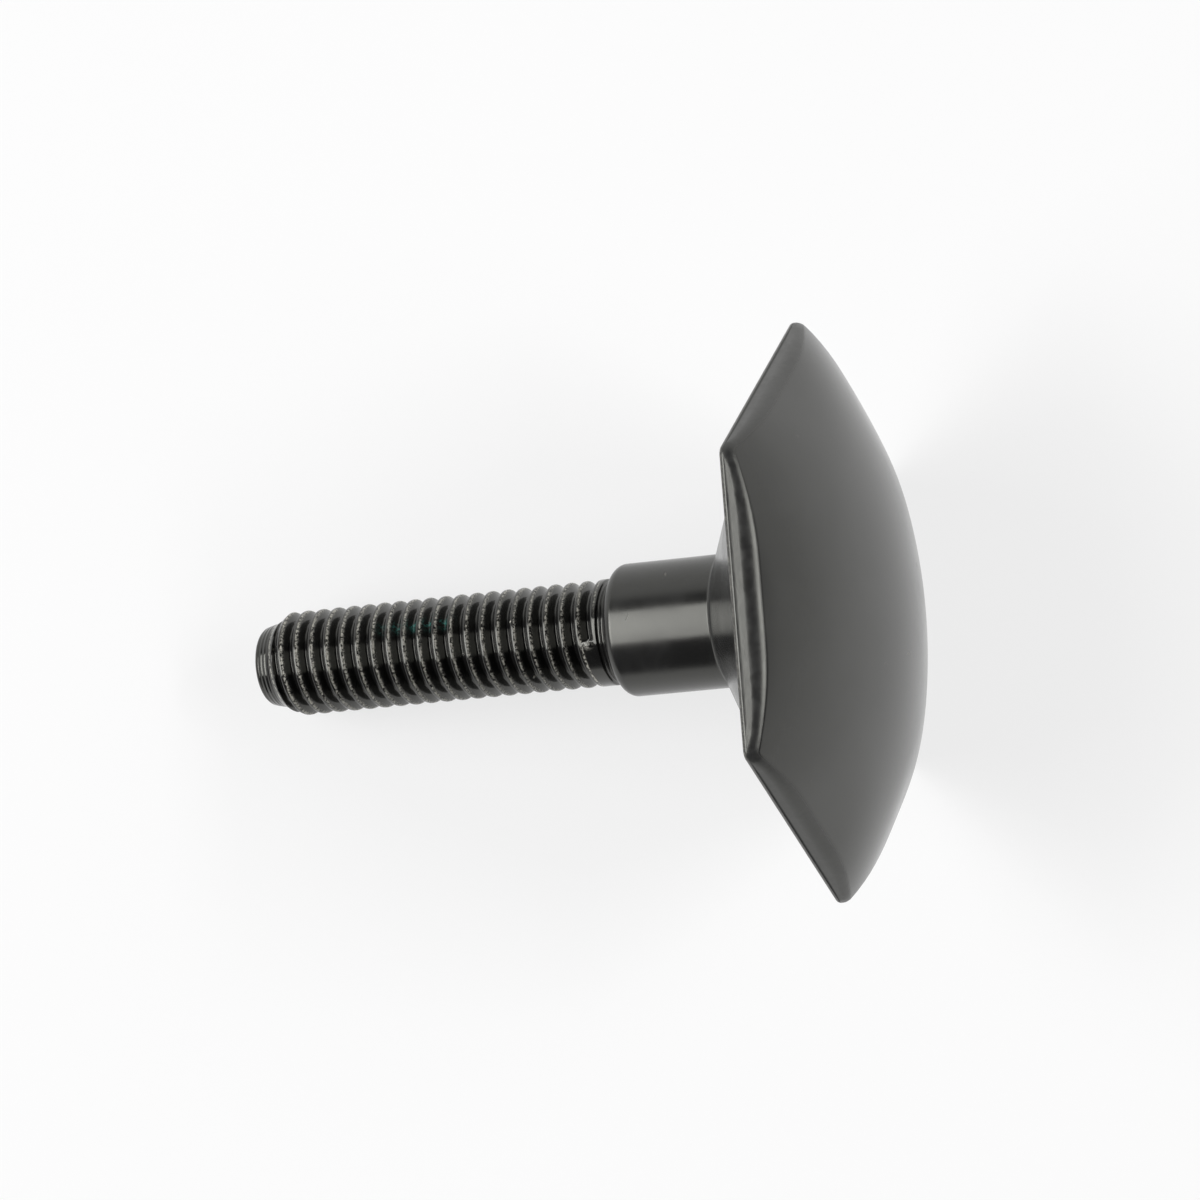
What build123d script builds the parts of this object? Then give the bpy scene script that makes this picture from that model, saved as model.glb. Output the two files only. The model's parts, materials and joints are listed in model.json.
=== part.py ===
from build123d import *
from math import asin, atan2, cos, hypot, sin, sqrt
import os

os.makedirs("parts", exist_ok=True)

# Stud, for an M8 by 1.25 mm thread that is moulded a little under its nominal size.
# The stud is as wide as the thread's crests. The helix itself is surface detail.
stud_diameter = 7.8
stud_full_length = 25.2
stud_taper_length = 1.1
lead_in_length = 1.3
lead_in_diameter = 6.4
stud_end_diameter = 5.8

# Neck and collar, between the stud and the foot
neck_diameter = 7.2
neck_length = 0.9
collar_diameter = 9.7
collar_length = 8.3
collar_end_round = 0.7

# Foot, a hexagonal plate with a shallow cone behind it and a domed sole in front
hex_side = 21.0
hex_corner_round = 0.9
corner_edge_height = 1.0
sole_radius = 42.0
cone_base_diameter = 34.2
cone_rise = 6.2
cone_fillet = 0.3
back_edge_round = 0.35
sole_edge_round = 0.8

# Sizes that follow from those above
stud_radius = stud_diameter / 2
collar_radius = collar_diameter / 2
neck_radius = neck_diameter / 2
collar_rim_round = min(collar_end_round, (collar_radius - neck_radius) * 0.9)
hex_half_flats = hex_side * sqrt(3) / 2
sole_apex = corner_edge_height + sole_radius - sqrt(sole_radius**2 - hex_side**2)

# Stations along the leg's axis. Zero is the hexagon's back face, the tip is negative.
collar_foot = -cone_rise
collar_end = collar_foot - collar_length
stud_start = collar_end - neck_length
stud_full_end = stud_start - stud_full_length
lead_in_start = stud_full_end - stud_taper_length
stud_tip = lead_in_start - lead_in_length

# The leg lies on one of the stud's rims and on the rounded back edge of one of the
# hexagon's flats. The rim that it lies on is the one that stops its tip from sinking
# first, and its axis rises from the tip to the foot by that rim's angle.
stud_rims = [
    (stud_full_end, stud_radius),
    (lead_in_start, lead_in_diameter / 2),
    (stud_tip, stud_end_diameter / 2),
]
lying_tilts = []
for rim_station, rim_radius in stud_rims:
    run = back_edge_round - rim_station
    drop = hex_half_flats - back_edge_round - rim_radius
    lying_tilts.append(atan2(drop, run) + asin(back_edge_round / hypot(run, drop)))
lying_tilt = min(lying_tilts)
rest_station, rest_radius = stud_rims[lying_tilts.index(lying_tilt)]
along = cos(lying_tilt)
rise = sin(lying_tilt)

# The origin is under the middle of the lying leg, on the surface that it lies on.
tip_reach = stud_end_diameter / 2 * rise - stud_tip * along
sole_reach = sole_radius - (sole_radius - sole_apex) * along
foot_x = (tip_reach - sole_reach) / 2
foot_z = rest_radius * along - rest_station * rise

# Back face of the hexagon: local X is across two corners, local Z points to the sole
back_face = Plane(origin=(foot_x, 0, foot_z), x_dir=(0, 1, 0), z_dir=(along, 0, rise))
# Plane of the turned profiles: local X is the leg's axis, local Y is the radius
section = Plane(origin=back_face.origin, x_dir=back_face.z_dir, z_dir=(0, -1, 0))
leg_axis = Axis(section.origin, section.x_dir)

with BuildPart() as leveling_leg:
    # Hexagonal plate with rounded corners, as thick as the middle of the sole
    with BuildSketch(back_face) as hexagon:
        RegularPolygon(radius=hex_side, side_count=6)
        fillet(hexagon.vertices(), radius=hex_corner_round)
    extrude(amount=sole_apex)

    # The domed sole keeps only what lies under its sphere
    with BuildSketch(section):
        with BuildLine():
            Polyline((sole_apex, 0), (0, 0), (0, hex_side), (corner_edge_height, hex_side))
            RadiusArc((corner_edge_height, hex_side), (sole_apex, 0), sole_radius)
        make_face()
    revolve(axis=leg_axis, mode=Mode.INTERSECT)

    # Rounded edges all round the hexagon
    sole_face = leveling_leg.faces().filter_by(GeomType.SPHERE)
    fillet(sole_face.edges(), radius=sole_edge_round)
    plate_back = leveling_leg.faces().filter_by(GeomType.PLANE).sort_by(leg_axis)[0]
    fillet(plate_back.edges(), radius=back_edge_round)

    # Cone, collar, neck and stud, turned about the leg's axis
    with BuildSketch(section) as shank:
        with BuildLine():
            Polyline(
                (0, 0),
                (0, cone_base_diameter / 2),
                (collar_foot, collar_radius),
                (collar_end, collar_radius),
                (collar_end, neck_radius),
                (stud_start, neck_radius),
                (stud_start, stud_radius),
                (stud_full_end, stud_radius),
                (lead_in_start, lead_in_diameter / 2),
                (stud_tip, stud_end_diameter / 2),
                (stud_tip, 0),
                close=True,
            )
        make_face()
        cone_top = shank.vertices().sort_by_distance((collar_foot, collar_radius))[0]
        fillet(cone_top, radius=cone_fillet)
        collar_rim = shank.vertices().sort_by_distance((collar_end, collar_radius))[0]
        fillet(collar_rim, radius=collar_rim_round)
    revolve(axis=leg_axis)

leveling_leg.part.label = "leveling_leg"
export_step(leveling_leg.part, "parts/leveling_leg.step")
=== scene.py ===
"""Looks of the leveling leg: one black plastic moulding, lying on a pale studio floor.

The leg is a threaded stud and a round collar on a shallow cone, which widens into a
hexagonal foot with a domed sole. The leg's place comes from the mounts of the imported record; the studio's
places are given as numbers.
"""

import json
import logging
import math
from dataclasses import dataclass, field
from enum import Enum

import bpy
import numpy as np
from mathutils import Matrix, Vector


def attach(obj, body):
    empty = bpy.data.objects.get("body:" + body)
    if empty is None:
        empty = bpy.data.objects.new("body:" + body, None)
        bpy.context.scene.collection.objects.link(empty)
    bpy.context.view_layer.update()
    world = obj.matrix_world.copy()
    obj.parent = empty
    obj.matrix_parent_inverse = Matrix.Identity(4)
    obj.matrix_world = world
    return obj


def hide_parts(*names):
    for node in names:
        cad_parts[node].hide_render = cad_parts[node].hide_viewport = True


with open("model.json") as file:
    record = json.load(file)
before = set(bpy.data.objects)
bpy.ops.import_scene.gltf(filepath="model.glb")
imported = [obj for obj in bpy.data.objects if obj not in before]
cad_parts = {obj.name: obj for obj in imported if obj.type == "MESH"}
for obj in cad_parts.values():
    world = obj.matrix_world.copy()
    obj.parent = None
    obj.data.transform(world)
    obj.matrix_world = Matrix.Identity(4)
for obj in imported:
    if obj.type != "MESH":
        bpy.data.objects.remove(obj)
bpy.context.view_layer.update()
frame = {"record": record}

MM = 0.001
LOG = logging.getLogger("leveling_leg")


class Zone(Enum):
    """The zones of the moulding that carry a finish of their own, by material index."""

    THREAD = 0
    COLLAR = 1
    BACK = 2
    SOLE = 3


@dataclass(frozen=True)
class LegAxes:
    """The leg's own axes in the shared frame.

    Args:
        origin: Middle of the hexagon's back face, in metres.
        axis: Unit vector from the tip to the sole.
        up: Unit normal of the upper wrench flat.
        side: Unit vector across the leg, towards two of the hexagon's corners.
    """

    origin: np.ndarray
    axis: np.ndarray
    up: np.ndarray
    side: np.ndarray

    @classmethod
    def from_record(cls, record: dict, sole_apex: float) -> "LegAxes":
        """Reads the axes from the mounts.

        Args:
            record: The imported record.
            sole_apex: Height of the sole's apex over the hexagon's back face, in mm.

        Returns:
            The leg's axes.
        """
        mounts = {mount["name"]: mount for mount in record["mounts"]}
        axis = np.array(mounts["sole"]["axis"], float)
        axis /= np.linalg.norm(axis)
        up = np.array(mounts["wrench_flat_upper"]["axis"], float)
        up -= axis * (up @ axis)
        up /= np.linalg.norm(up)
        apex = np.array(mounts["sole"]["pos_m"], float)
        return cls(apex - axis * sole_apex * MM, axis, up, np.cross(axis, -up))

    def place(self, local: np.ndarray) -> np.ndarray:
        """Turns (station, side, up) points in mm into metres in the shared frame."""
        return self.origin + MM * self.turn(local)

    def turn(self, local: np.ndarray) -> np.ndarray:
        """Turns (station, side, up) directions into the shared frame."""
        basis = np.stack([self.axis, self.side, self.up])
        return local @ basis


def bell(distance: float | np.ndarray, width: float) -> np.ndarray:
    """Soft bump that is 1 at a distance of 0 and dies away over its width."""
    return np.exp(-((distance / width) ** 2))


def ring(turns: np.ndarray, along: float, out: float | np.ndarray) -> np.ndarray:
    """Row round the axis as (along, side, up): points at a radius, or directions that lean out."""
    return np.stack([np.full_like(turns, along), out * np.sin(turns), out * np.cos(turns)], 1)


def ease(value: float | np.ndarray, start: float, end: float) -> np.ndarray:
    """Smooth step from 0 at start to 1 at end."""
    share = np.clip((np.asarray(value, float) - start) / (end - start), 0.0, 1.0)
    return share * share * (3 - 2 * share)


@dataclass
class Rings:
    """Rows of points round the leg's axis, from the tip to the sole.

    Args:
        points: The points of each row, as (station, side, up) in mm.
        normals: Their unit normals.
        zones: The material index of the faces after each row.
        frays_and_highlights: How frayed each point is, and how much painted highlight it carries, from 0 to
            1.
        stains: How stained each point is, from 0 to 1.
    """

    points: list = field(default_factory=list)
    normals: list = field(default_factory=list)
    zones: list = field(default_factory=list)
    frays_and_highlights: list = field(default_factory=list)
    stains: list = field(default_factory=list)

    def add(self, points: np.ndarray, normals: np.ndarray, zone: Zone,
            fray_and_highlight: np.ndarray | None = None, stain: np.ndarray | None = None) -> None:
        """Adds one row.

        Args:
            points: Its points as (station, side, up), in mm.
            normals: Their normals, of any length.
            zone: The zone of the faces between this row and the next.
            fray_and_highlight: How frayed each point is, and how much painted highlight it carries, from 0
                to 1. None is not at all.
            stain: How stained each point is, likewise.
        """
        plain = np.zeros(len(points))
        self.frays_and_highlights.append(plain if fray_and_highlight is None else fray_and_highlight)
        self.stains.append(plain if stain is None else stain)
        self.points.append(points)
        self.normals.append(normals / np.linalg.norm(normals, axis=1, keepdims=True))
        self.zones.append(zone.value)


@dataclass(frozen=True)
class HexOutline:
    """The hexagon's rounded outline, sampled so that every row of the leg can follow it.

    Args:
        side: Side of the sharp hexagon, in mm.
        corner_round: Radius of its corners, in mm.
        side_steps: Points along the straight stretch of a side.
        corner_steps: Points round a corner.
    """

    side: float = 21.0
    corner_round: float = 0.9
    side_steps: int = 18
    corner_steps: int = 8

    @property
    def half_flats(self) -> float:
        """Distance from the axis to a flat."""
        return self.side * math.sqrt(3) / 2

    def sample(self) -> tuple[np.ndarray, np.ndarray]:
        """Samples the outline once round, from the middle of the upper flat towards +side.

        Returns:
            The points and their outward normals, each as (side, up).
        """
        inner = self.half_flats - self.corner_round
        reach = inner * math.tan(math.pi / 6)
        points, normals = [], []
        for flat in range(6):
            turn = flat * math.pi / 3
            outward = np.array([math.sin(turn), math.cos(turn)])
            along = np.array([math.cos(turn), -math.sin(turn)])
            for step in range(self.side_steps):
                share = (step + 0.5) / self.side_steps * 2 - 1
                points.append(outward * self.half_flats + along * reach * share)
                normals.append(outward)
            centre = outward * inner + along * reach
            for step in range(self.corner_steps):
                bend = turn + math.pi / 3 * (step + 0.5) / self.corner_steps
                direction = np.array([math.sin(bend), math.cos(bend)])
                points.append(centre + direction * self.corner_round)
                normals.append(direction)
        return np.array(points), np.array(normals)


@dataclass(frozen=True)
class Patch:
    """A stretch of the stud that carries a mark. Stations in mm, angles in radians.

    Args:
        turn: Angle of its middle, from up towards +side.
        reach: How far round it goes from there.
        rise: Stations between which it sets in.
        fall: Stations between which it ends.
    """

    turn: float
    reach: float
    rise: tuple[float, float]
    fall: tuple[float, float]

    def share(self, turn: np.ndarray, station: float) -> np.ndarray:
        """Share of the mark at each angle of a row."""
        along = ease(station, *self.rise) - ease(station, *self.fall)
        return bell(turn - self.turn, self.reach) * along


@dataclass(frozen=True)
class Thread:
    """The right-hand M8 by 1.25 mm thread, its neck and its lead-in. Sizes in mm.

    Stations here count from the hexagon's back face towards the tip, and angles run from up
    towards +side.

    Args:
        pitch: Advance of the thread in one turn.
        crest_radius: Radius over the crests.
        depth: Depth of the groove.
        crest_flat: Flat on top of a crest, between its rounds.
        crest_round: Radius of a crest's two edges.
        first_groove: Station of the first groove's middle, at the angle 0.
        groove_end_turn: Angle at which the first groove runs out.
        groove_end_ramp: Length round the stud over which it reaches its depth.
        burr_height: Height of the burr at the groove's end.
        burr_reach: How far the burr goes round the stud and along it.
        burr_lead: How far before the groove's end the burr stands, in radians.
        spare: How far the limits of the radius stay over the crests where they don't cut.
        neck_radius: Radius of the neck.
        neck_end: Station where the neck ends and the crests begin.
        neck_step: Lengths before and after that station over which the radius changes.
        witness_lines: Station and height of each fine line round the neck.
        witness_width: Width of those lines.
        collar_end: Station of the collar's end face.
        full_end: Station where the full crests end and the taper begins.
        lead_in_start: Station where the taper ends and the lead-in begins.
        lead_in_radius: Radius of the stud there.
        turned_lines: Number of turned lines on the lead-in.
        turned_height: Height of those lines.
        tip: Station of the end face.
        tip_radius: Radius of the lead-in at its end.
        tip_round: Radius of the end face's edge.
        tip_rows: Radii of the rows inside the end face's edge.
        tip_round_steps: Steps round that edge.
        rows_per_turn: Rows of points in one pitch.
        neck_row_gap: Distance between the rows on the neck.
        fray_highlight_edge: How far before a crest's middle its rough edge with its painted highlight runs,
            and its width.
        flakes: The stretch whose crests carry flakes.
        flake_width: Width of the flakes along the stud.
        residue: The stretch whose grooves carry residue.
        residue_width: Width of the residue along the stud.
    """

    pitch: float = 1.25
    crest_radius: float = 3.9
    depth: float = 0.70
    crest_flat: float = 0.06
    crest_round: float = 0.21
    first_groove: float = 16.06
    groove_end_turn: float = math.radians(-12.0)
    groove_end_ramp: float = 0.16
    burr_height: float = 0.16
    burr_reach: tuple[float, float] = (0.2, 0.3)
    burr_lead: float = 0.06
    spare: float = 0.1
    neck_radius: float = 3.7
    neck_end: float = 15.3
    neck_step: tuple[float, float] = (0.15, 0.1)
    witness_lines: tuple = ((14.98, 0.05), (14.72, 0.06))
    witness_width: float = 0.045
    collar_end: float = 14.5
    full_end: float = 40.6
    lead_in_start: float = 41.7
    lead_in_radius: float = 3.2
    turned_lines: int = 4
    turned_height: float = 0.018
    tip: float = 43.0
    tip_radius: float = 2.9
    tip_round: float = 0.25
    tip_rows: tuple[float, ...] = (0.6, 1.6)
    tip_round_steps: int = 5
    rows_per_turn: int = 20
    neck_row_gap: float = 0.045
    fray_highlight_edge: tuple[float, float] = (0.15, 0.07)
    flakes: Patch = Patch(0.95, 0.22, (15.6, 16.2), (18.4, 19.6))
    flake_width: float = 0.3
    residue: Patch = Patch(0.55, 0.11, (26.2, 27.4), (32.0, 33.2))
    residue_width: float = 0.34

    def offset(self, turn: np.ndarray, station: float) -> np.ndarray:
        """Distance along the axis past the first groove's middle, at each angle."""
        return station - self.first_groove - self.pitch * turn / (2 * math.pi)

    def wrap(self, distance: np.ndarray) -> np.ndarray:
        """Takes whole pitches off a distance, so that at most half a pitch is left."""
        return distance - np.round(distance / self.pitch) * self.pitch

    def groove_share(self, distance: np.ndarray) -> np.ndarray:
        """Depth share of the groove at a distance from its middle.

        Args:
            distance: Distance along the axis from the nearest groove's middle.

        Returns:
            1 at the root and 0 at the crest.
        """
        slope, reach = math.tan(math.pi / 3), math.cos(math.pi / 6)
        sink = 1 - math.sin(math.pi / 6)
        half = (self.pitch - self.crest_flat) / 2
        crest_drop, crest_half = self.crest_round * sink, self.crest_round * reach
        flank = half - crest_half - (self.depth - crest_drop) / slope
        root_round = flank / (reach - sink / slope)
        root_half = root_round * reach
        out = np.abs(distance)
        from_crest = np.clip(half - out, 0.0, half)
        over_crest = np.minimum(from_crest, crest_half)
        over_root = np.minimum(out, root_half)
        on_crest = self.crest_round - np.sqrt(self.crest_round**2 - over_crest**2)
        on_flank = crest_drop + (from_crest - crest_half) * slope
        on_root = self.depth - root_round + np.sqrt(root_round**2 - over_root**2)
        below = np.where(out > root_half, on_flank, on_root)
        return np.where(from_crest < crest_half, on_crest, below) / self.depth

    def radius(self, turn: np.ndarray, station: float) -> np.ndarray:
        """Radius of the stud's surface.

        Args:
            turn: Angle round the axis from up towards +side.
            station: Distance from the hexagon's back face towards the tip.

        Returns:
            The radius at each angle.
        """
        offset = self.offset(turn, station)
        unwound = turn + np.round(offset / self.pitch) * 2 * math.pi
        end = self.groove_end_turn * self.crest_radius
        cut = ease(unwound * self.crest_radius, end, end + self.groove_end_ramp)
        groove = self.depth * self.groove_share(self.wrap(offset)) * cut
        body = self.crest_radius - groove + self.burr_height * self.burr(turn, station)
        return np.minimum(body, min(self.neck(station), self.envelope(station)))

    def burr(self, turn: np.ndarray, station: float) -> np.ndarray:
        """Share of the small burr that stands where the groove runs out."""
        round_stud, along_stud = self.burr_reach
        across = (turn - self.groove_end_turn + self.burr_lead) * self.crest_radius
        middle = self.first_groove + self.pitch * self.groove_end_turn / (2 * math.pi)
        return bell(across, round_stud) * bell(station - middle, along_stud)

    def neck(self, station: float) -> float:
        """Upper limit of the radius near the neck, with its two fine witness lines."""
        before, after = self.neck_step
        step = float(ease(station, self.neck_end - before, self.neck_end + after))
        limit = self.neck_radius + (self.crest_radius + self.spare - self.neck_radius) * step
        for line, height in self.witness_lines:
            limit += height * float(bell(station - line, self.witness_width))
        return limit

    def envelope(self, station: float) -> float:
        """Upper limit of the radius at the tapered end, with the lines on its lead-in."""
        if station < self.full_end:
            return self.crest_radius + self.spare
        if station < self.lead_in_start:
            share = (station - self.full_end) / (self.lead_in_start - self.full_end)
            return self.crest_radius + (self.lead_in_radius - self.crest_radius) * share
        share = (station - self.lead_in_start) / (self.tip - self.lead_in_start)
        fade = math.sin(math.pi * min(1.0, share * 1.2))
        line = self.turned_height * math.sin(2 * math.pi * share * self.turned_lines) * fade
        return self.lead_in_radius + (self.tip_radius - self.lead_in_radius) * share + line

    def stations(self) -> list[float]:
        """Stations of the rows from the tip's rounded edge to the foot of the neck."""
        step = self.pitch / self.rows_per_turn
        start = self.tip - self.tip_round
        stations = [start - row * step for row in range(int((start - self.neck_end) / step))]
        last = stations[-1] - step
        while last > self.collar_end + self.neck_row_gap:
            stations.append(last)
            last -= self.neck_row_gap
        return stations

    def add_rings(self, rings: Rings, turns: np.ndarray) -> None:
        """Adds the rows from the middle of the tip's end face to the foot of the neck.

        Args:
            rings: The rows to add to.
            turns: Angles of the points of a row.
        """
        for radius in (*self.tip_rows, self.tip_radius - self.tip_round):
            rings.add(ring(turns, -self.tip, radius), ring(turns, -1.0, 0.0), Zone.THREAD)
        for step in range(1, self.tip_round_steps):
            bend = math.pi / 2 * step / self.tip_round_steps
            radius = self.tip_radius - self.tip_round * (1 - math.sin(bend))
            station = self.tip - self.tip_round * (1 - math.cos(bend))
            normals = ring(turns, -math.cos(bend), math.sin(bend))
            rings.add(ring(turns, -station, radius), normals, Zone.THREAD)
        for station in self.stations():
            self.add_cut_ring(rings, turns, station)

    def add_cut_ring(self, rings: Rings, turns: np.ndarray, station: float) -> None:
        """Adds a row of the stud's side, with normals that follow its true slopes.

        Args:
            rings: The rows to add to.
            turns: Angles of the points of a row.
            station: Station of the row.
        """
        tiny = 1e-3
        radius = self.radius(turns, station)
        ahead, behind = self.radius(turns + tiny, station), self.radius(turns - tiny, station)
        low, high = self.radius(turns, station - tiny), self.radius(turns, station + tiny)
        lean = (ahead - behind) / (2 * tiny) / radius
        along = -(low - high) / (2 * tiny)
        side, up = np.sin(turns), np.cos(turns)
        normals = np.stack([along, side - lean * up, up + lean * side], 1)
        rings.add(ring(turns, -station, radius), normals, Zone.THREAD,
                  self.fray_and_highlight(turns, station), self.stain(turns, station))

    def fray_and_highlight(self, turn: np.ndarray, station: float) -> np.ndarray:
        """Share of pale paint along each crest's edge on the foot's side: a painted highlight of the
        shoulder, partly real rough torn plastic, with the burr and the flakes.
        """
        from_crest = self.wrap(self.offset(turn, station) - self.pitch / 2)
        shift, width = self.fray_highlight_edge
        begun = ease(station, self.neck_end, self.neck_end + 0.3)
        ended = ease(station, self.full_end, self.tip)
        # The pale edge is a painted highlight of the crest's shoulder, broken into crumbs like torn
        # plastic.
        edge = bell(from_crest + shift, width) * begun * (1 - ended)
        flakes = 0.25 * self.flakes.share(turn, station) * bell(from_crest, self.flake_width)
        return np.maximum(edge, np.maximum(0.75 * self.burr(turn, station), flakes))

    def stain(self, turn: np.ndarray, station: float) -> np.ndarray:
        """Share of the faint teal residue in a few grooves halfway along the stud."""
        distance = self.wrap(self.offset(turn, station))
        return self.residue.share(turn, station) * bell(distance, self.residue_width)


@dataclass(frozen=True)
class Shank:
    """The collar and the cone behind the foot. Sizes in mm, stations towards the sole.

    Args:
        collar_end: Station of the collar's end face.
        inner_radius: Radius at which that face begins, inside the neck.
        collar_foot: Station where the collar meets the cone.
        collar_radius: Radius of the collar.
        end_round: Radius of the collar's rounded end.
        cone_fillet: Radius of the fillet between collar and cone.
        cone_base_radius: Radius at which the cone reaches the hexagon's back face.
        base_fillet: Radius of the fillet there.
        land: Width of the back face that the outline still follows.
        run_rows: Steps along a straight stretch.
        round_rows: Steps round a fillet.
    """

    collar_end: float = -14.5
    inner_radius: float = 3.52
    collar_foot: float = -6.2
    collar_radius: float = 4.85
    end_round: float = 0.8
    cone_fillet: float = 0.3
    cone_base_radius: float = 17.1
    base_fillet: float = 0.25
    land: float = 0.5
    run_rows: int = 12
    round_rows: int = 8

    def path(self) -> tuple[np.ndarray, np.ndarray]:
        """The outline of collar and cone, from the neck to the cone's base.

        Returns:
            Its points as (station, radius) and their outward normals.
        """
        corners = [
            (np.array([self.collar_end, self.inner_radius]), 0.0),
            (np.array([self.collar_end, self.collar_radius]), self.end_round),
            (np.array([self.collar_foot, self.collar_radius]), self.cone_fillet),
            (np.array([0.0, self.cone_base_radius]), self.base_fillet),
            (np.array([0.0, self.cone_base_radius + self.land]), 0.0),
        ]
        points, normals = [], []

        def put(point: np.ndarray, direction: np.ndarray) -> None:
            """Adds a point whose outline runs along a direction."""
            points.append(point)
            normals.append(np.array([-direction[1], direction[0]]))

        for (before, _), (corner, fillet), (after, _) in zip(corners, corners[1:], corners[2:]):
            coming = (corner - before) / np.linalg.norm(corner - before)
            going = (after - corner) / np.linalg.norm(after - corner)
            cross = coming[0] * going[1] - coming[1] * going[0]
            bend = math.atan2(cross, coming @ going)
            start = corner - coming * (fillet * math.tan(abs(bend) / 2))
            if points:
                last = points[-1]
                for row in range(1, self.run_rows):
                    put(last + (start - last) * row / self.run_rows, coming)
            centre = start + np.array([-coming[1], coming[0]]) * math.copysign(fillet, bend)
            for row in range(self.round_rows + 1):
                angle = bend * row / self.round_rows
                turn = np.array([[math.cos(angle), -math.sin(angle)],
                                 [math.sin(angle), math.cos(angle)]])
                put(centre + turn @ (start - centre), turn @ coming)
        return np.array(points), np.array(normals)

    def add_rings(self, rings: Rings, turns: np.ndarray) -> None:
        """Adds the rows of collar and cone.

        Args:
            rings: The rows to add to.
            turns: Angles of the points of a row.
        """
        for (station, radius), (lean, out) in zip(*self.path()):
            rings.add(ring(turns, station, radius), ring(turns, lean, out), Zone.COLLAR)


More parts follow.
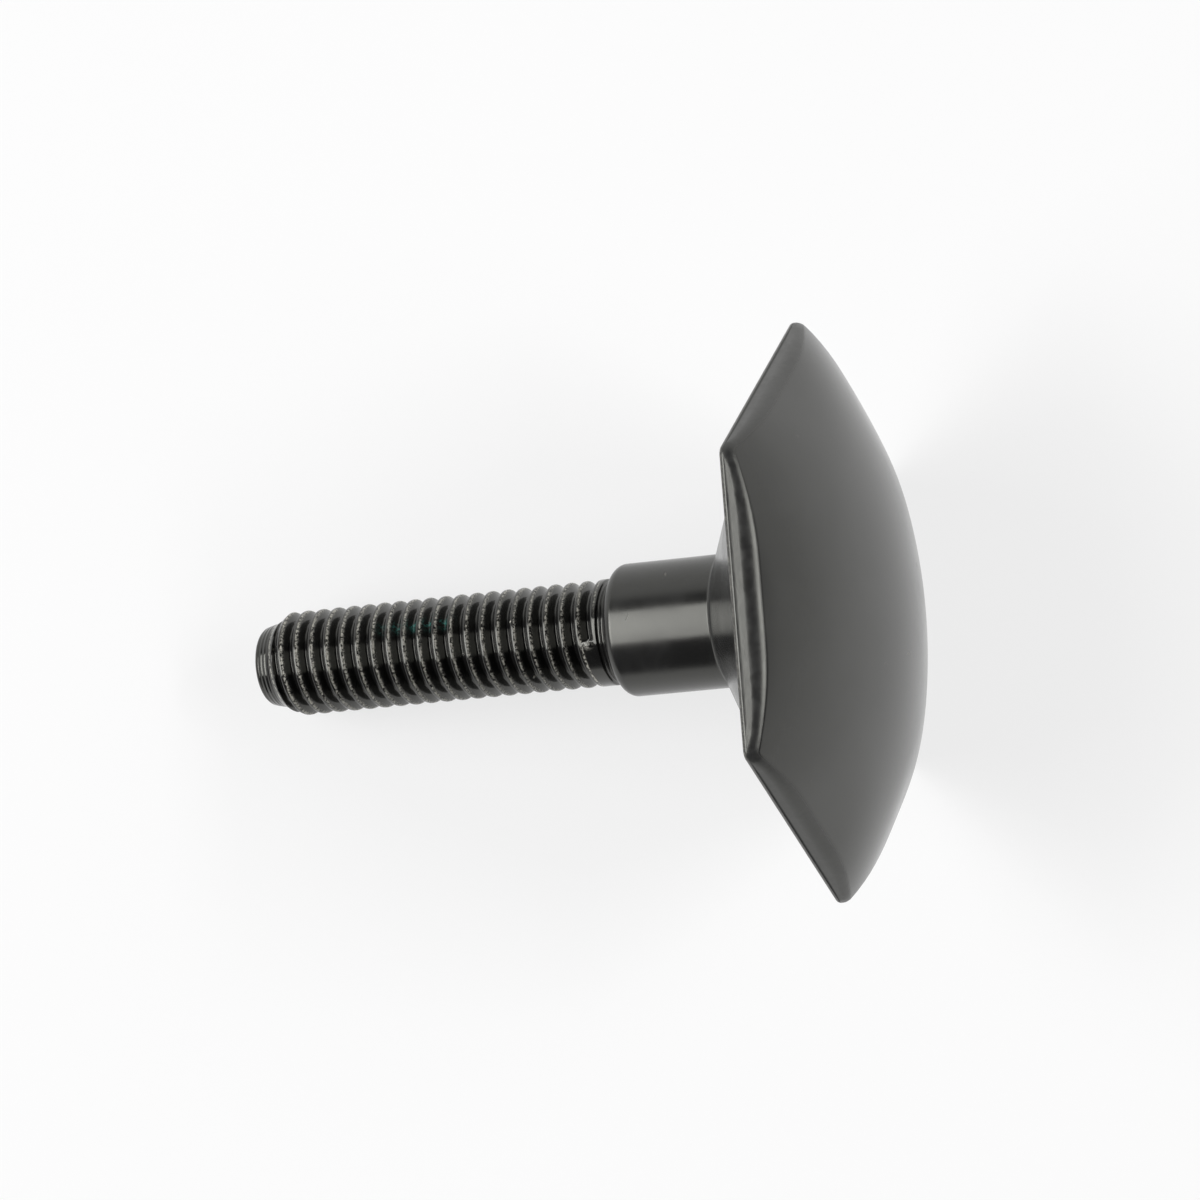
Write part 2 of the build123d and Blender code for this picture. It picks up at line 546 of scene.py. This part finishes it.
@dataclass(frozen=True)
class Foot:
    """The hexagonal plate with its domed sole. Sizes in mm, stations towards the sole.

    Args:
        outline: The hexagon.
        cone_base_radius: Radius at which the cone reaches the plate's back.
        land: Gap from there to the middle of the plate's first row.
        land_shares: Where the plate's rows lie between that gap and its back edge.
        corner_edge_height: Height of the plate's edge at a sharp corner.
        sole_radius: Radius of the sole's sphere.
        back_round: Radius of the plate's back edge.
        back_steps: Steps round that edge.
        back_edge_highlight: Share of painted highlight on that edge.
        flat_edge_round: Radius of the sole's edge along a flat.
        corner_edge_round: Radius of the sole's edge at a corner.
        corner_reach: Length before a corner over which the one becomes the other.
        edge_gap: Least height that is left between the two edges' rounds.
        side_shares: Where the rows of the plate's side lie between those rounds.
        edge_steps: Steps round the sole's edge.
        sole_step: The step from which the edge has the sole's finish.
        rim_fall: How far the sole's rim falls below the sphere at a flat.
        fall_start: Distance from the axis at which it begins to fall.
        dome_rows: Rows from the rim to the apex.
    """

    outline: HexOutline = HexOutline()
    cone_base_radius: float = 17.1
    land: float = 0.2
    land_shares: tuple[float, ...] = (0.3, 0.65)
    corner_edge_height: float = 1.0
    sole_radius: float = 42.0
    back_round: float = 0.35
    back_steps: int = 6
    back_edge_highlight: float = 0.8
    flat_edge_round: float = 1.45
    corner_edge_round: float = 0.8
    corner_reach: float = 7.0
    edge_gap: float = 0.06
    side_shares: tuple[float, ...] = (0.0, 0.35, 0.7)
    edge_steps: int = 16
    sole_step: int = 13
    rim_fall: float = 0.7
    fall_start: float = 11.0
    dome_rows: int = 30

    @property
    def sole_apex(self) -> float:
        """Height of the sole's apex over the hexagon's back face."""
        rim = math.sqrt(self.sole_radius**2 - self.outline.side**2)
        return self.corner_edge_height + self.sole_radius - rim

    def add_rings(self, rings: Rings) -> None:
        """Adds the rows from the plate's back to the apex of the sole.

        Args:
            rings: The rows to add to.
        """
        edge, outward = self.outline.sample()
        self.add_back(rings, edge, outward)
        rim = self.add_edge(rings, edge, outward)
        for row in range(1, self.dome_rows):
            level = rim * (1 - row / self.dome_rows)
            height, lean = self.dome(level)
            rings.add(self.row(height, level), lean, Zone.SOLE)

    def add_back(self, rings: Rings, edge: np.ndarray, outward: np.ndarray) -> None:
        """Adds the rows of the plate's back and of its edge, which carries a painted highlight.

        Args:
            rings: The rows to add to.
            edge: The hexagon's outline, as (side, up).
            outward: Its normals.
        """
        count = len(edge)
        turns = np.arctan2(edge[:, 0], edge[:, 1])
        base = np.stack([np.sin(turns), np.cos(turns)], 1) * (self.cone_base_radius + self.land)
        last = edge - outward * self.back_round
        backward = self.row(-np.ones(count), np.zeros_like(edge))
        for share in self.land_shares:
            level = base + (last - base) * share
            rings.add(self.row(np.zeros(count), level), backward, Zone.BACK)
        for step in range(self.back_steps + 1):
            bend = math.pi / 2 * step / self.back_steps
            level = edge - outward * self.back_round * (1 - math.sin(bend))
            station = np.full(count, self.back_round * (1 - math.cos(bend)))
            normals = self.row(np.full(count, -math.cos(bend)), outward * math.sin(bend))
            # Painted highlight along the plate's back edge.
            edge_highlight = self.back_edge_highlight * math.sin(math.pi * min(1.0, step / (self.back_steps - 1)))
            rings.add(self.row(station, level), normals, Zone.BACK, np.full(count, edge_highlight))

    def add_edge(self, rings: Rings, edge: np.ndarray, outward: np.ndarray) -> np.ndarray:
        """Adds the rows of the plate's side and of the round that leads into the sole.

        A ball that touches both side and dome is fitted at each point of the outline. Where
        it would reach down to the back edge, it is made smaller.

        Args:
            rings: The rows to add to.
            edge: The hexagon's outline, as (side, up).
            outward: Its normals.

        Returns:
            The rim of the sole, as (side, up).
        """
        count, half_side = len(edge), self.outline.side / 2
        along = edge[:, 0] * outward[:, 1] - edge[:, 1] * outward[:, 0]
        at_corner = ease(np.abs(along), half_side - self.corner_reach, half_side)
        to_corner = self.corner_edge_round - self.flat_edge_round
        edge_round = self.flat_edge_round + to_corner * at_corner
        first_guess, rounds, damping, shrink = 0.9, 60, 0.7, 0.97
        inner = np.full(count, first_guess)
        for _ in range(rounds):
            rim = edge * inner[:, None]
            height, dome_lean = self.dome(rim)
            ball = rim - edge_round[:, None] * dome_lean[:, 1:]
            gap = ((edge - ball) * outward).sum(1)
            inner += (gap - edge_round) / np.linalg.norm(edge, axis=1) * damping
            ball_station = height - edge_round * dome_lean[:, 0]
            too_low = ball_station < self.back_round + self.edge_gap
            edge_round = np.where(too_low, edge_round * shrink, edge_round)
        rim = edge * inner[:, None]
        ball = rim - edge_round[:, None] * dome_lean[:, 1:]
        side_lean = self.row(np.zeros(count), outward)
        start = ball + outward * edge_round[:, None]
        for share in self.side_shares:
            station = self.back_round + (ball_station - self.back_round) * share
            rings.add(self.row(station, edge + (start - edge) * share), side_lean, Zone.BACK)
        middle = self.row(ball_station, ball)
        span = np.arccos(np.clip((dome_lean * side_lean).sum(1), -1, 1))[:, None]
        for step in range(self.edge_steps + 1):
            share = step / self.edge_steps
            lean = np.sin(span * (1 - share)) * side_lean + np.sin(span * share) * dome_lean
            lean /= np.sin(span)
            zone = Zone.BACK if step < self.sole_step else Zone.SOLE
            rings.add(middle + lean * edge_round[:, None], lean, zone)
        return rim

    def dome(self, level: np.ndarray) -> tuple[np.ndarray, np.ndarray]:
        """The sole's surface: a sphere whose rim falls away a little towards the flats.

        Args:
            level: Points as (side, up).

        Returns:
            The station of each point and its unit normal.
        """
        flats = np.arange(6) * math.pi / 3
        toward_flats = np.stack([np.sin(flats), np.cos(flats)])
        sharpness, corner_share = 1.2, 0.2

        def height(points: np.ndarray) -> np.ndarray:
            """Station of the surface over each point."""
            sphere = np.sqrt(self.sole_radius**2 - (points**2).sum(1)) - self.sole_radius
            reach = np.log(np.exp(points @ toward_flats * sharpness).sum(1)) / sharpness
            fall_length = self.outline.half_flats - self.fall_start
            share = np.clip((reach - self.fall_start) / fall_length, 0, None)
            swing = (1 + np.cos(6 * np.arctan2(points[:, 0], points[:, 1]))) / 2
            fall = self.rim_fall * (corner_share + (1 - corner_share) * swing)
            return self.sole_apex + sphere - fall * share**2

        tiny = 1e-4
        slopes = [(height(level + step) - height(level - step)) / (2 * tiny)
                  for step in np.eye(2) * tiny]
        normal = self.row(np.ones(len(level)), -np.stack(slopes, 1))
        return height(level), normal / np.linalg.norm(normal, axis=1, keepdims=True)

    @staticmethod
    def row(station: np.ndarray, across: np.ndarray) -> np.ndarray:
        """Joins stations and (side, up) pairs into rows of three."""
        return np.column_stack([station, across])


class MouldedLeg:
    """The whole leg as one closed mesh, built as rows swept from tip to sole."""

    def __init__(self) -> None:
        """Sets out the three stretches of the leg."""
        self.thread = Thread()
        self.shank = Shank()
        self.foot = Foot()
        self.axes = LegAxes.from_record(frame["record"], self.foot.sole_apex)

    def build(self) -> bpy.types.Object:
        """Makes the mesh and its object.

        Returns:
            The leg, with its zones as material indices.
        """
        edge, _ = self.foot.outline.sample()
        turns = np.arctan2(edge[:, 0], edge[:, 1])
        rings = Rings()
        self.thread.add_rings(rings, turns)
        self.shank.add_rings(rings, turns)
        self.foot.add_rings(rings)
        rows, count = len(rings.points), len(turns)
        tip = np.array([[-self.thread.tip, 0.0, 0.0]])
        apex = np.array([[self.foot.sole_apex, 0.0, 0.0]])
        local = np.concatenate([tip, *rings.points, apex])
        lean = np.concatenate([[[-1.0, 0, 0]], *rings.normals, [[1.0, 0, 0]]])
        pairs = [(point, (point + 1) % count) for point in range(count)]
        faces = [(0, 1 + point, 1 + beside) for point, beside in pairs]
        for row in range(rows - 1):
            start = 1 + row * count
            end = start + count
            faces += [(start + point, end + point, end + beside, start + beside)
                      for point, beside in pairs]
        start, last = 1 + (rows - 1) * count, 1 + rows * count
        faces += [(start + beside, start + point, last) for point, beside in pairs]
        zones = np.repeat([Zone.THREAD.value, *rings.zones[:-1], Zone.SOLE.value], count)
        mesh = bpy.data.meshes.new("moulded_leg")
        mesh.from_pydata(self.axes.place(local).tolist(), [], faces)
        mesh.polygons.foreach_set("material_index", zones)
        # The first attribute carries the frayed edges and the painted highlights.
        for name, shares in (("fray_and_highlight", rings.frays_and_highlights), ("stain", rings.stains)):
            layer = mesh.attributes.new(name, "FLOAT", "POINT")
            layer.data.foreach_set("value", np.concatenate([[0.0], *shares, [0.0]]))
        mesh.shade_smooth()
        mesh.normals_split_custom_set_from_vertices(self.axes.turn(lean).tolist())
        mesh.update()
        leg = bpy.data.objects.new("moulded_leg", mesh)
        bpy.context.scene.collection.objects.link(leg)
        LOG.info("moulded_leg: %d rows of %d points", rows, count)
        return leg


class Board:
    """A node tree with short calls to add nodes and join them."""

    def __init__(self, tree: bpy.types.NodeTree) -> None:
        """Takes over a tree."""
        self.tree = tree

    def add(self, kind: str, settings: dict | None = None, **inputs: object) -> bpy.types.Node:
        """Adds a node.

        Args:
            kind: Node type without its ShaderNode prefix, or a full type name.
            settings: Properties to set on the node.
            inputs: Values or sockets for its inputs. Spaces in names are underscores,
                and in_0 is the first input.

        Returns:
            The node.
        """
        node = self.tree.nodes.new(kind if kind.startswith("NodeGroup") else "ShaderNode" + kind)
        for name, value in (settings or {}).items():
            setattr(node, name, value)
        for name, value in inputs.items():
            key = int(name[3:]) if name.startswith("in_") else name.replace("_", " ")
            if isinstance(value, bpy.types.NodeSocket):
                self.tree.links.new(value, node.inputs[key])
            else:
                node.inputs[key].default_value = value
        return node

    def math(self, operation: str, *values: object) -> bpy.types.NodeSocket:
        """Adds a Math node on up to three values or sockets."""
        inputs = {f"in_{number}": value for number, value in enumerate(values)}
        return self.add("Math", {"operation": operation}, **inputs).outputs[0]

    def remap(self, value: bpy.types.NodeSocket, low: float, high: float,
              to_low: float = 0.0, to_high: float = 1.0) -> bpy.types.NodeSocket:
        """Smoothly maps a stretch of values onto another."""
        node = self.add("MapRange", {"interpolation_type": "SMOOTHSTEP"}, Value=value, From_Min=low,
                        From_Max=high, To_Min=to_low, To_Max=to_high)
        return node.outputs[0]

    def blend(self, share: object, first: object, second: object) -> bpy.types.NodeSocket:
        """Mixes two colours."""
        node = self.add("Mix", {"data_type": "RGBA"}, in_0=share, in_6=first, in_7=second)
        return node.outputs[2]


class Effects:
    """The shader groups that the finishes share, each built once."""

    def __init__(self) -> None:
        """Builds the groups."""
        self.mottle = self.make_mottle()
        self.specks = self.make_specks()
        self.scratches = self.make_scratches()

    @staticmethod
    def start(name: str, inputs: dict, outputs: tuple) -> tuple[Board, bpy.types.Node, bpy.types.Node]:
        """Starts a group.

        Args:
            name: Its name.
            inputs: Name and default of each input. None makes a vector.
            outputs: Names of its value outputs.

        Returns:
            The board, the node that holds its inputs and the one that takes its outputs.
        """
        tree = bpy.data.node_groups.new(name, "ShaderNodeTree")
        for title, default in inputs.items():
            kind = "NodeSocketVector" if default is None else "NodeSocketFloat"
            socket = tree.interface.new_socket(title, in_out="INPUT", socket_type=kind)
            if default is not None:
                socket.default_value = default
        for title in outputs:
            tree.interface.new_socket(title, in_out="OUTPUT", socket_type="NodeSocketFloat")
        board = Board(tree)
        return board, board.add("NodeGroupInput"), board.add("NodeGroupOutput")

    def make_mottle(self) -> bpy.types.NodeTree:
        """Soft uneven gloss and flow of moulded plastic: a broad share and a fine height."""
        board, given, out = self.start(
            "mould_mottle", {"Vector": None, "Broad Scale": 300.0, "Fine Scale": 2500.0}, ("Broad", "Fine"))
        broad = board.add("TexNoise", {}, Vector=given.outputs[0], Scale=given.outputs[1], Detail=4.0,
                          Roughness=0.6, Distortion=0.6)
        fine = board.add("TexNoise", {}, Vector=given.outputs[0], Scale=given.outputs[2], Detail=3.0,
                         Roughness=0.55)
        board.tree.links.new(board.remap(broad.outputs[0], 0.32, 0.68), out.inputs[0])
        board.tree.links.new(fine.outputs[0], out.inputs[1])
        return board.tree

    def make_specks(self) -> bpy.types.NodeTree:
        """Sparse specks of dust, each a dot of its own size."""
        board, given, out = self.start(
            "dust_specks", {"Vector": None, "Scale": 900.0, "Share": 0.05, "Size": 0.3}, ("Mask",))
        cell = board.add("TexVoronoi", {}, Vector=given.outputs[0], Scale=given.outputs[1], Randomness=1.0)
        split = board.add("SeparateColor", {}, Color=cell.outputs[1])
        chosen = board.math("LESS_THAN", split.outputs[0], given.outputs[2])
        spread = board.math("MULTIPLY_ADD", split.outputs[1], 0.8, 0.4)
        size = board.math("MULTIPLY", given.outputs[3], spread)
        near = board.math("SUBTRACT", 1.0, board.math("DIVIDE", cell.outputs[0], size))
        dot = board.remap(near, 0.0, 0.35)
        board.tree.links.new(board.math("MULTIPLY", dot, chosen), out.inputs[0])
        return board.tree

    def make_scratches(self) -> bpy.types.NodeTree:
        """Fine broken hairlines, as level lines of a soft stretched noise."""
        board, given, out = self.start(
            "hairline_scratches", {"Vector": None, "Scale": 120.0, "Width": 0.004, "Share": 0.4}, ("Mask",))
        field = board.add("TexNoise", {}, Vector=given.outputs[0], Scale=given.outputs[1], Detail=1.0)
        levels = 7.0
        level = board.math("FRACT", board.math("MULTIPLY", field.outputs[0], levels))
        off = board.math("ABSOLUTE", board.math("SUBTRACT", level, 0.5))
        width = board.math("MULTIPLY", given.outputs[2], levels)
        line = board.math("SUBTRACT", 1.0, board.math("DIVIDE", off, width))
        gate = board.add("TexNoise", {}, Vector=given.outputs[0], Scale=520.0, Detail=2.0)
        limit = board.math("MULTIPLY_ADD", given.outputs[3], 0.4, 0.3)
        kept = board.remap(board.math("SUBTRACT", limit, gate.outputs[0]), 0.0, 0.06)
        mask = board.math("MULTIPLY", board.remap(line, 0.0, 0.9), kept)
        board.tree.links.new(mask, out.inputs[0])
        return board.tree


def paint(red: float, green: float, blue: float) -> tuple[float, float, float, float]:
    """A solid colour from its linear shares."""
    return red, green, blue, 1.0


def grey(level: float) -> tuple[float, float, float, float]:
    """A solid grey of a linear level."""
    return paint(level, level, level)


# Pale colour of dust, scratches and torn plastic. It also paints the highlights along the thread's crests
# and the foot's back edge.
PALE_WEAR_AND_HIGHLIGHT = paint(0.60, 0.58, 0.51)
TEAL = paint(0.03, 0.16, 0.14)


@dataclass(frozen=True)
class BlackPlastic:
    """One finish of the black plastic. Scales are per metre, heights in metres.

    Args:
        name: Its name.
        shade: Linear grey of the plastic itself.
        roughness: Lowest roughness.
        uneven: How much rougher the dull patches are.
        broad_scale: Scale of the dull patches.
        fine_scale: Scale of the fine relief.
        relief: Height of the fine relief.
        wave: Height of the broad relief.
        dust: Share of cells with a speck of dust.
        dust_scale: Cells of dust per metre.
        scratch: Share of the scratches that show.
        stained: How strongly the teal residue shows.
        fray_highlight: How pale the torn edges and the painted highlights along the crests and the back
            edge are.
        fray_highlight_start: Level of the grain over which they show.
        fray_highlight_band: How much further the grain goes before they show fully.
        speck_size: Size of a speck, as a share of its cell.
        ior: Index of refraction.
        tint: Colour of the reflections seen straight on.
    """

    name: str
    shade: float
    roughness: float
    uneven: float
    broad_scale: float = 300.0
    fine_scale: float = 2500.0
    relief: float = 0.000004
    wave: float = 0.00001
    dust: float = 0.03
    dust_scale: float = 900.0
    scratch: float = 0.35
    stained: float = 0.0
    fray_highlight: float = 0.0
    fray_highlight_start: float = 0.42
    fray_highlight_band: float = 0.16
    speck_size: float = 0.22
    ior: float = 1.6
    tint: tuple = paint(1.0, 1.0, 0.93)

    def make(self, effects: Effects) -> bpy.types.Material:
        """Makes the material.

        Args:
            effects: The shared shader groups.

        Returns:
            The material.
        """
        material = bpy.data.materials.new(self.name)
        material.use_nodes = True
        material.node_tree.nodes.clear()
        board = Board(material.node_tree)
        where = board.add("TexCoord").outputs["Object"]
        mottle = board.add("Group", {"node_tree": effects.mottle}, Vector=where,
                           Broad_Scale=self.broad_scale, Fine_Scale=self.fine_scale)
        dust = board.add("Group", {"node_tree": effects.specks}, Vector=where, Scale=self.dust_scale,
                         Share=self.dust, Size=self.speck_size)
        marks = board.add("Group", {"node_tree": effects.scratches}, Vector=where, Share=self.scratch)
        colour = board.blend(mottle.outputs[0], grey(self.shade), grey(self.shade * 1.5))
        wear_and_highlight = board.math("MAXIMUM", dust.outputs[0], board.math("MULTIPLY", marks.outputs[0], 0.12))
        rough = board.math("MULTIPLY_ADD", mottle.outputs[0], self.uneven, self.roughness)
        rough = board.math("MULTIPLY_ADD", marks.outputs[0], 0.2, rough)
        if self.stained > 0:
            residue = board.add("Attribute", {"attribute_name": "stain"})
            curds = board.add("TexNoise", {}, Vector=where, Scale=2600.0, Detail=3.0, Roughness=0.6)
            share = board.math("MULTIPLY", residue.outputs[2], board.remap(curds.outputs[0], 0.46, 0.58))
            colour = board.blend(board.math("MULTIPLY", share, self.stained), colour, TEAL)
        if self.fray_highlight > 0:
            # Pale crumbs along the marked edges: painted highlights on the crests and the back edge, with
            # some real torn plastic on the crests.
            fray_highlight_share = board.add("Attribute", {"attribute_name": "fray_and_highlight"})
            grain = board.add("TexNoise", {}, Vector=where, Scale=5200.0, Detail=3.0, Roughness=0.7)
            crumb_and_highlight = board.remap(grain.outputs[0], self.fray_highlight_start, self.fray_highlight_start + self.fray_highlight_band)
            crumbs_and_highlights = board.math("MULTIPLY", fray_highlight_share.outputs[2], crumb_and_highlight)
            wear_and_highlight = board.math("MAXIMUM", wear_and_highlight, board.math("MULTIPLY", crumbs_and_highlights, self.fray_highlight))
            rough = board.math("MULTIPLY_ADD", crumbs_and_highlights, 0.25, rough)
        # Dust and scratches are real; the pale crumbs mixed in here are partly painted highlights.
        colour = board.blend(wear_and_highlight, colour, PALE_WEAR_AND_HIGHLIGHT)
        height = board.math("MULTIPLY_ADD", mottle.outputs[0], self.wave,
                            board.math("MULTIPLY", mottle.outputs[1], self.relief))
        scratch_height, wear_and_highlight_height = -0.000004, 0.00001
        height = board.math("MULTIPLY_ADD", marks.outputs[0], scratch_height, height)
        height = board.math("MULTIPLY_ADD", wear_and_highlight, wear_and_highlight_height, height)
        bump = board.add("Bump", {}, Strength=1.0, Distance=1.0, Height=height)
        shader = board.add("BsdfPrincipled", {}, Base_Color=colour, Roughness=rough, Normal=bump.outputs[0])
        shader.inputs["IOR"].default_value = self.ior
        shader.inputs["Specular Tint"].default_value = self.tint
        board.add("OutputMaterial", {}, Surface=shader.outputs[0])
        return material


FINISHES = {
    Zone.THREAD: BlackPlastic(
        "black_plastic_thread", shade=0.006, roughness=0.10, uneven=0.06, broad_scale=700.0,
        relief=0.000001, wave=0.000002, dust=0.02, dust_scale=1500.0, scratch=0.1,
        stained=1.0, fray_highlight=0.9),
    Zone.COLLAR: BlackPlastic(
        "black_plastic_collar", shade=0.011, roughness=0.19, uneven=0.07,
        relief=0.0000006, wave=0.0000015, dust=0.012, scratch=0.12),
    Zone.BACK: BlackPlastic(
        "black_plastic_foot_back", shade=0.016, roughness=0.28, uneven=0.12, broad_scale=900.0,
        # The pale crumbs on the back edge are a painted highlight.
        relief=0.000003, wave=0.000004, dust=0.006, scratch=0.1, fray_highlight=0.3, fray_highlight_start=0.46),
    Zone.SOLE: BlackPlastic(
        "black_plastic_sole", shade=0.014, roughness=0.16, uneven=0.05, broad_scale=120.0,
        relief=0.0000006, wave=0.000002, dust=0.001, scratch=0.14),
}


@dataclass(frozen=True)
class Studio:
    """Pale floor, two soft boxes, a pale horizon and the camera. Lengths in metres.

    Args:
        floor_radius: Radius of the paper.
        floor_solid: Radius at which it begins to fade out.
        floor_steps: Points round its rim.
        paper: Linear grey that the paper scatters.
        paper_look: Linear grey that it shows to the camera and in reflections.
        paper_lift: Share of that look in what is shown.
        box_distance: Distance of the soft boxes from the leg.
        box_lean: Their angle from straight overhead.
        left_layers: Width, length and radiance of each layer of the left box.
        right_layers: Those of the right box.
        horizon: Linear grey of the surroundings near the horizon.
        zenith: Linear colour of the surroundings overhead.
        camera_place: Where the camera is.
        camera_target: Where it looks.
        camera_heading: How far it is turned about its own view.
        lens: Its focal length, in mm.
    """

    floor_radius: float = 0.42
    floor_solid: float = 0.20
    floor_steps: int = 96
    paper: float = 0.84
    paper_look: float = 0.99
    paper_lift: float = 0.72
    box_distance: float = 0.9
    box_lean: float = math.radians(49.0)
    left_layers: tuple = ((0.43, 0.86, 5.2), (0.06, 0.40, 32.0))
    right_layers: tuple = ((0.42, 0.86, 2.4), (0.06, 0.40, 34.0))
    horizon: float = 0.93
    zenith: tuple = paint(0.05, 0.05, 0.052)
    camera_place: tuple = (0.008796, -0.018016, 0.308254)
    camera_target: tuple = (0.000886, 0.003240, 0.0)
    camera_heading: float = math.radians(-4.434)
    lens: float = 122.16

    def build(self) -> None:
        """Builds the whole studio."""
        self.lay_floor()
        self.light_world()
        for name, way, layers in (("left", -1.0, self.left_layers), ("right", 1.0, self.right_layers)):
            for layer, (width, length, radiance) in enumerate(layers):
                self.hang_box(f"{name}_{layer}", way * self.box_lean, width, length, radiance)
        self.set_camera()

    def lay_floor(self) -> None:
        """Lays a disc of plain paper whose rim fades into the pale surroundings."""
        mesh = bpy.data.meshes.new("paper")
        turns = [2 * math.pi * step / self.floor_steps for step in range(self.floor_steps)]
        rim = [(self.floor_radius * math.cos(turn), self.floor_radius * math.sin(turn), 0.0)
               for turn in turns]
        mesh.from_pydata(rim, [], [tuple(range(self.floor_steps))])
        floor = bpy.data.objects.new("paper", mesh)
        bpy.context.scene.collection.objects.link(floor)
        material = bpy.data.materials.new("plain_paper")
        material.use_nodes = True
        material.node_tree.nodes.clear()
        board = Board(material.node_tree)
        where = board.add("TexCoord").outputs["Object"]
        distance = board.add("VectorMath", {"operation": "LENGTH"}, in_0=where).outputs["Value"]
        fade = board.remap(distance, self.floor_solid, self.floor_radius * 0.98)
        fibre = board.add("TexNoise", {}, Vector=where, Scale=900.0, Detail=5.0)
        tone = board.blend(fibre.outputs[0], grey(self.paper * 0.985), grey(self.paper))
        paper = board.add("BsdfDiffuse", {}, Color=tone)
        glow = board.add("Emission", {}, Color=grey(self.paper_look), Strength=1.0)
        path = board.add("LightPath")
        through = board.math("MAXIMUM", path.outputs["Is Glossy Ray"], path.outputs["Is Transmission Ray"])
        seen = board.math("MAXIMUM", path.outputs["Is Camera Ray"], through)
        lifted = board.add("MixShader", {}, in_0=board.math("MULTIPLY", seen, self.paper_lift),
                           in_1=paper.outputs[0], in_2=glow.outputs[0])
        clear = board.add("BsdfTransparent")
        mixed = board.add("MixShader", {}, in_0=fade, in_1=lifted.outputs[0], in_2=clear.outputs[0])
        board.add("OutputMaterial", {}, Surface=mixed.outputs[0])
        mesh.materials.append(material)

    def light_world(self) -> None:
        """Makes the surroundings: pale up to just over the horizon and dim overhead."""
        world = bpy.data.worlds.new("studio")
        bpy.context.scene.world = world
        world.use_nodes = True
        world.node_tree.nodes.clear()
        board = Board(world.node_tree)
        split = board.add("SeparateXYZ", {}, Vector=board.add("TexCoord").outputs[0])
        lean = board.math("MULTIPLY_ADD", split.outputs[1], -0.28, split.outputs[2])
        height = board.remap(lean, 0.08, 0.36)
        sky = board.blend(height, grey(self.horizon), self.zenith)
        background = board.add("Background", {}, Color=sky, Strength=1.0)
        board.add("OutputWorld", {}, Surface=background.outputs[0])

    def hang_box(self, name: str, lean: float, width: float, length: float, radiance: float) -> None:
        """Hangs a soft box that faces the leg.

        Args:
            name: Its name.
            lean: Its angle from straight overhead, towards +X.
            width: Its width across the lean.
            length: Its length along Y.
            radiance: How bright it looks, where 1 is white.
        """
        lamp = bpy.data.lights.new("box_" + name, "AREA")
        lamp.shape = "RECTANGLE"
        lamp.size, lamp.size_y = width, length
        lamp.energy = radiance * width * length * math.pi
        holder = bpy.data.objects.new("box_" + name, lamp)
        direction = Vector((math.sin(lean), 0.05, math.cos(lean)))
        holder.location = direction * self.box_distance
        holder.rotation_euler = (0.0, lean, 0.0)
        bpy.context.scene.collection.objects.link(holder)

    def set_camera(self) -> None:
        """Sets the camera above the leg, looking down."""
        lens = bpy.data.cameras.new("camera")
        lens.lens = self.lens
        lens.clip_start, lens.clip_end = 0.01, 20.0
        camera = bpy.data.objects.new("camera", lens)
        back = (Vector(self.camera_place) - Vector(self.camera_target)).normalized()
        image_up = Vector((-math.sin(self.camera_heading), math.cos(self.camera_heading), 0.0))
        across = image_up.cross(back).normalized()
        turned = Matrix((across, back.cross(across), back)).transposed()
        camera.matrix_world = Matrix.Translation(self.camera_place) @ turned.to_4x4()
        bpy.context.scene.collection.objects.link(camera)
        bpy.context.scene.camera = camera


def main() -> None:
    """Builds the leg and the studio."""
    logging.basicConfig(level=logging.INFO, format="%(name)s: %(message)s")
    bpy.context.scene.view_settings.view_transform = "Standard"
    effects = Effects()
    leg = MouldedLeg().build()
    for zone in Zone:
        leg.data.materials.append(FINISHES[zone].make(effects))
    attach(leg, "root")
    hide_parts("leveling_leg")
    LOG.info("%s: %d faces", leg.name, len(leg.data.polygons))
    Studio().build()


if __name__ == "__main__":
    main()
